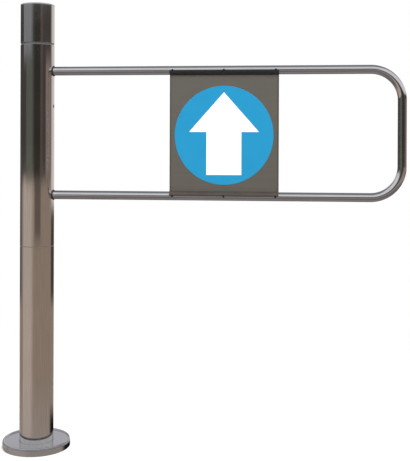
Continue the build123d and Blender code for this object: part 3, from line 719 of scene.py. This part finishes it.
def seal_section(notch, inset, front, downward):
    """The (y, z) outline of one seal strip round its tube's centre. notch is how far its free edge is cut
    back, and inset shrinks it all round."""
    corner = 0.25 * MM
    fit_gap = 0.02 * MM
    ease = 0.3
    steps = 18
    outer = seal_high.y - inset
    shoulder = outer - corner
    inner = arm_radius + fit_gap + inset
    panel_face = panel_high.y + fit_gap + inset
    free = notch + inset
    first, last = math.asin(free / outer), math.acos(panel_face / outer)
    round_turn = corner / outer
    sweep = last - first - 2 * round_turn
    inner_first, inner_last = math.asin(free / inner), math.acos(panel_face / inner)
    inner_sweep = inner_first - inner_last
    outline = [(inner, inner_first), (shoulder, math.asin(free / shoulder))]
    outline += [(outer - corner * ease, first + round_turn * ease)]
    outline += [(outer, first + round_turn + sweep * k / steps) for k in range(steps + 1)]
    outline += [(outer - corner * ease, last - round_turn * ease)]
    outline += [(shoulder, math.acos(panel_face / shoulder)), (inner, inner_last)]
    outline += [(inner, inner_last + inner_sweep * k / steps) for k in range(1, steps)]
    return [(front * r * math.cos(turn), downward * r * math.sin(turn)) for r, turn in outline]


def make_seals():
    """Four rubber strips over the joints between panel and tubes, the front ones notched for the screws."""
    clearance = screw_head_radius + 0.1 * MM
    bead = 0.15 * MM
    notch_steps = 12
    notch_turns = [math.pi * k / notch_steps for k in range(notch_steps + 1)]
    low, high = seal_low.x, seal_high.x
    bm = bmesh.new()
    for height, downward in ((arm_axes[0], 1), (arm_axes[1], -1)):
        for front in (-1, 1):
            runs = [(low, 0.0, bead), (low + bead, 0.0, 0.0)]
            if front < 0:
                for middle in screw_stations:
                    for turn in notch_turns:
                        runs.append((middle - clearance * math.cos(turn), clearance * math.sin(turn), 0.0))
            runs += [(high - bead, 0.0, 0.0), (high, 0.0, bead)]
            rows = []
            for x, notch, inset in runs:
                section = seal_section(notch, inset, front, downward)
                rows.append([bm.verts.new((x, y, height + z)) for y, z in section])
            for i in range(len(rows) - 1):
                bridge(bm, rows[i], rows[i + 1])
            bm.faces.new(rows[0])
            bm.faces.new(rows[-1])
    return make_piece(bm, "panel_seal_strips", "arm", "seal_rubber", ["joint_seals"])


def facing_front(origin):
    """A placing whose local Z points to the front, along -Y, at origin."""
    return Matrix.Translation(origin) @ Matrix.Rotation(math.pi / 2, 4, "X")


def make_disc():
    middle = (disc_low + disc_high) / 2
    radius = (disc_high.x - disc_low.x) / 2
    thickness = disc_high.y - disc_low.y
    inset = 1.0 * MM
    corners = [
        (radius - inset, 0, 0),
        (radius, 0, 0),
        (radius, thickness, 0.2 * MM),
        (radius - inset, thickness, 0),
    ]
    bm = bmesh.new()
    place = facing_front(Vector((middle.x, disc_high.y, middle.z)))
    outline = rounded(corners, closed=False, steps=4)
    rows = lathe(bm, outline, round_segments, closed=False, place=place)
    bm.faces.new(rows[0])
    bm.faces.new(rows[-1])
    piece = make_piece(bm, "sign_disc_plate", "arm", "sign_blue", ["sign_disc"])
    weigh_normals(piece)
    return piece


def make_arrow():
    middle = (arrow_low.x + arrow_high.x) / 2
    half_head = (arrow_high.x - arrow_low.x) / 2
    half_stem = 39.0 * MM
    shoulder = arrow_low.z + 95.5 * MM
    cut = 0.5 * MM
    corners = [
        (middle - half_stem, arrow_low.z, cut),
        (middle + half_stem, arrow_low.z, cut),
        (middle + half_stem, shoulder, cut),
        (arrow_high.x, shoulder, cut),
        (middle, arrow_high.z, cut),
        (arrow_low.x, shoulder, cut),
        (middle - half_stem, shoulder, cut),
    ]
    bm = bmesh.new()
    outline = [bm.verts.new((x, arrow_high.y, z)) for x, z in rounded(corners, steps=3, guard=0.0)]
    bmesh.ops.remove_doubles(bm, verts=bm.verts, dist=1e-7)
    face = bm.faces.new([v for v in outline if v.is_valid])
    made = bmesh.ops.extrude_face_region(bm, geom=[face])
    moved = [v for v in made["geom"] if isinstance(v, bmesh.types.BMVert)]
    bmesh.ops.translate(bm, vec=(0, arrow_low.y - arrow_high.y, 0), verts=moved)
    front = [e for e in bm.edges if all(v in set(moved) for v in e.verts)]
    bmesh.ops.bevel(bm, geom=front, offset=0.08 * MM, segments=2, profile=0.5, affect="EDGES")
    piece = make_piece(bm, "sign_arrow_plate", "arm", "sign_white", ["sign_arrow"])
    weigh_normals(piece)
    return piece


# ---------------------------------------------------------------- screws


def socket_screw(bm, place, outline, flats, depth, segments=48):
    """A screw with a hexagon socket. outline runs from the shank's end up to the rim of the socket, as
    (radius, height), and flats is half the socket's width across flats."""

    def hexagon(angle, reach):
        return reach / math.cos((angle + math.pi / 6) % (math.pi / 3) - math.pi / 6)

    top = outline[-1][1]
    floor = top - depth
    lip = 0.1 * MM
    rows = []
    sections = [(radius, height, False) for radius, height in outline]
    sections += [(flats + lip, top, True), (flats, top - lip, True), (flats, floor, True), (0, floor, True)]
    for radius, height, six_sided in sections:
        row = []
        for k in range(segments):
            angle = 2 * math.pi * k / segments
            reach = hexagon(angle, radius) if six_sided else radius
            spot = Vector((reach * math.cos(angle), reach * math.sin(angle), height))
            row.append(bm.verts.new(place @ spot))
        rows.append(row)
    for i in range(len(rows) - 1):
        bridge(bm, rows[i], rows[i + 1])


def make_panel_screws():
    """Six button heads on the front of the two runs."""
    head_height = 0.9 * MM
    shank_radius = 1.6 * MM
    shank_end = -3.0 * MM
    head_seat = -0.6 * MM
    dome_start, dome_sweep, dome_steps = math.radians(12), math.radians(58), 6
    dome_radius = screw_head_radius / math.cos(dome_start)
    socket_flats = 0.62 * MM
    socket_depth = 0.7 * MM
    outline = [(0, shank_end), (shank_radius, shank_end)]
    outline += [(shank_radius, head_seat), (screw_head_radius, head_seat)]
    for k in range(dome_steps + 1):
        turn = dome_start + dome_sweep * k / dome_steps
        outline.append((dome_radius * math.cos(turn), head_height * math.sin(turn)))
    bm = bmesh.new()
    for height in arm_axes:
        for x in screw_stations:
            spin = Matrix.Rotation(chance.uniform(0, math.pi / 3), 4, "Z")
            place = facing_front(Vector((x, -arm_radius, height))) @ spin
            socket_screw(bm, place, outline, socket_flats, socket_depth)
    bmesh.ops.remove_doubles(bm, verts=bm.verts, dist=1e-7)
    return make_piece(bm, "panel_button_screws", "arm", "black_fastener", ["panel_screws"])


def make_grub_screws():
    """Two black socket grub screws, sunk in the sleeve's holes."""
    face = post_radius - 0.6 * MM
    length = 13.0 * MM
    thread = 4.0 * MM
    socket_flats = 2.0 * MM
    socket_depth = 3.5 * MM
    outline = [
        (0, 0),
        (thread - 1.0 * MM, 0),
        (thread, 1.0 * MM),
        (thread, length - 0.5 * MM),
        (thread - 0.12 * MM, length - 0.3 * MM),
        (thread - 0.6 * MM, length),
    ]
    bm = bmesh.new()
    for azimuth in grub_azimuths:
        outward = Vector((math.cos(azimuth), math.sin(azimuth), 0))
        turned = outward.to_track_quat("Z", "X").to_matrix().to_4x4()
        place = Matrix.Translation(sleeve_point(azimuth, grub_height, face - length)) @ turned
        socket_screw(bm, place, outline, socket_flats, socket_depth)
    bmesh.ops.remove_doubles(bm, verts=bm.verts, dist=1e-7)
    return make_piece(bm, "cam_grub_screws", "arm", "black_fastener", ["cam_screws"])


# ---------------------------------------------------------------- studio


def make_camera():
    """The camera stands in front of the loop at waist height, level and hardly tilted."""
    camera = bpy.data.cameras.new("camera")
    camera.lens = 66.02
    camera.sensor_width = 36.0
    camera.shift_y = -0.164
    camera.clip_end = 50.0
    stand = bpy.data.objects.new("camera", camera)
    scene.collection.objects.link(stand)
    stand.location = (0.5691, -1.8725, 0.6683)
    stand.rotation_euler = [math.radians(a) for a in (89.799, -0.22, 5.688)]
    scene.camera = stand


def soft_light(name, azimuth, elevation, distance, size, power):
    """A square soft light that looks at the object's middle."""
    target = Vector((0.4, 0, 0.6))
    a, e = math.radians(azimuth), math.radians(elevation)
    away = Vector((math.cos(a) * math.cos(e), math.sin(a) * math.cos(e), math.sin(e)))
    light = bpy.data.lights.new(name, "AREA")
    light.shape = "RECTANGLE"
    light.size, light.size_y = size
    light.energy = power
    lamp = bpy.data.objects.new(name, light)
    scene.collection.objects.link(lamp)
    lamp.location = target + away * distance
    lamp.rotation_euler = (-away).to_track_quat("-Z", "Y").to_euler()
    lamp.visible_camera = False
    lamp.visible_glossy = False


# A plain street for the polished metal to mirror. Each block is a tint, the azimuth of its middle, half its
# width, and the elevations of its foot and top, in degrees. A later block stands in front of an earlier one.
PAVING = (0.40, 0.31, 0.25)
PALE_PAVING = (0.50, 0.46, 0.44)
NEAR_PAVING = (0.22, 0.205, 0.215)
UNDERFOOT = (0.33, 0.31, 0.32)
SHADE = (0.08, 0.075, 0.07)
SKY = (0.93, 0.95, 1.0)
DULL_SKY = (0.60, 0.60, 0.64)
CEILING = (0.28, 0.29, 0.32)
STREET = {
    "lit_paving": ((0.65, 0.54, 0.47), -150, 45, -18, -1),
    "shaded_paving": ((0.18, 0.14, 0.12), -70, 20, -5, -1),
    "open_sky": ((0.30, 0.31, 0.33), -150, 40, 7, 14),
    "greenery": ((0.15, 0.16, 0.13), -130, 25, -1, 7),
    "hedge": ((0.045, 0.045, 0.035), -75, 20, -1, 14),
    "brown_door": ((0.14, 0.10, 0.09), -45, 8, -1, 14),
    "brown_wall": ((0.35, 0.26, 0.23), 5, 20, -1, 7),
    "pale_wall": ((0.90, 0.85, 0.80), 75, 40, -3, 14),
    "kerb": ((0.08, 0.07, 0.06), 60, 25, -9, -3),
    "parked_van": ((0.12, 0.11, 0.11), 140, 20, -9, 1),
}
DOORSTEP = ((0.012, 0.012, 0.012), 70, 40, -25, -16)

# Elevation that the heights above are counted from, in degrees
EYE_LINE = -0.85


def make_surroundings():
    """A world with the street on a warm ground, a pale sky over it and a darker ceiling. The camera itself
    sees plain white."""
    world = bpy.data.worlds.new("surroundings")
    world.use_nodes = True
    scene.world = world
    nodes = Nodes(world.node_tree)
    direction = nodes.add("TexCoord").outputs["Generated"]
    split = nodes.add("SeparateXYZ", {0: direction})
    azimuth = nodes.math("DEGREES", nodes.math("ARCTAN2", split.outputs[1], split.outputs[0]))
    elevation = nodes.math("DEGREES", nodes.math("ARCSINE", split.outputs[2]))
    rise = nodes.math("SUBTRACT", elevation, EYE_LINE)

    def stand(behind, tint, middle, half_width, foot, top):
        """A soft-edged block of tint in front of what is behind it."""
        blur = half_width / 3
        fade = 0.7
        off_middle = nodes.math("ABSOLUTE", nodes.math("SUBTRACT", azimuth, middle))
        share = nodes.spread(off_middle, half_width - blur, half_width + blur, 1.0, 0.0)
        share = nodes.math("MULTIPLY", share, nodes.spread(rise, foot - fade, foot + fade))
        share = nodes.math("MULTIPLY", share, nodes.spread(rise, top - fade, top + fade, 1.0, 0.0))
        return nodes.mix(share, behind, rgba(tint))

    colour = nodes.mix(nodes.spread(rise, -1.7, -0.3), rgba(PAVING), rgba(SHADE))
    for block in STREET.values():
        colour = stand(colour, *block)

    colour = nodes.mix(nodes.spread(rise, -19.0, -13.0, 0.5, 0.0), colour, rgba(PALE_PAVING))

    ceiling_edge = nodes.spread(split.outputs[1], -0.1, 0.3, 64.0, 32.0)
    ceiling = nodes.spread(nodes.math("SUBTRACT", rise, ceiling_edge), -9.0, 9.0)
    sky = nodes.mix(ceiling, rgba(SKY), rgba(CEILING))
    off_back = nodes.math("ABSOLUTE", nodes.math("SUBTRACT", azimuth, 105.0))
    back = nodes.spread(off_back, 35.0, 60.0, 1.0, 0.0)
    low_back = nodes.math("MULTIPLY", back, nodes.spread(rise, 24.0, 40.0, 1.0, 0.0))
    sky = nodes.mix(low_back, sky, rgba(DULL_SKY))
    colour = nodes.mix(nodes.spread(rise, 10.0, 16.0), colour, sky)
    near = nodes.mix(nodes.spread(rise, -75.0, -50.0), rgba(UNDERFOOT), rgba(NEAR_PAVING))
    colour = nodes.mix(nodes.spread(rise, -30.0, -18.0, 1.0, 0.0), colour, near)
    colour = stand(colour, *DOORSTEP)

    seen = nodes.add("LightPath").outputs["Is Camera Ray"]
    lit = nodes.add("Background", {"Color": colour, "Strength": 1.0})
    plain = nodes.add("Background", {"Color": rgba(1.0), "Strength": 1.0})
    both = nodes.add("MixShader", {0: seen, 1: lit.outputs[0], 2: plain.outputs[0]})
    output = nodes.add("OutputWorld")
    nodes.put(output.inputs["Surface"], both.outputs[0])


def make_floor():
    """A pale round floor that fades into the white round it."""
    bm = bmesh.new()
    bmesh.ops.create_circle(bm, cap_ends=True, segments=96, radius=4.0)
    mesh = bpy.data.meshes.new("floor")
    bm.to_mesh(mesh)
    bm.free()
    material = bpy.data.materials.new("floor")
    material.use_nodes = True
    nodes = Nodes(material.node_tree)
    place = nodes.add("TexCoord").outputs["Object"]
    distance = nodes.add("VectorMath", {0: place}, operation="LENGTH").outputs["Value"]
    lit = nodes.add("BsdfDiffuse", {"Color": rgba(0.9)})
    glow = nodes.add("Emission", {"Color": rgba(1.0), "Strength": 1.0})
    faded = nodes.spread(distance, 0.3, 1.6)
    both = nodes.add("MixShader", {0: faded, 1: lit.outputs[0], 2: glow.outputs[0]})
    output = nodes.add("OutputMaterial")
    nodes.put(output.inputs["Surface"], both.outputs[0])
    mesh.materials.append(material)
    floor = bpy.data.objects.new("floor", mesh)
    scene.collection.objects.link(floor)
    floor.visible_glossy = False


def finish_inner_parts():
    """Gives each CAD node that still shows the finish of its slot."""
    for row in frame["record"]["subparts"]:
        for slot in frame["nodes"][row["node"]].material_slots:
            slot.material = finishes[row["material_slot"]]


make_camera()
finish_inner_parts()
make_lower_post()
make_sleeve()
make_seam_ring()
make_head()
make_base_cover()
make_arm()
make_welds()
make_panel()
make_seals()
make_disc()
make_arrow()
make_panel_screws()
make_grub_screws()
make_surroundings()
make_floor()
soft_light("key", -85, 50, 2.6, (1.8, 1.2), 53)
soft_light("overhead", 90, 80, 2.2, (2.4, 1.6), 36)
scene.view_settings.view_transform = "Standard"
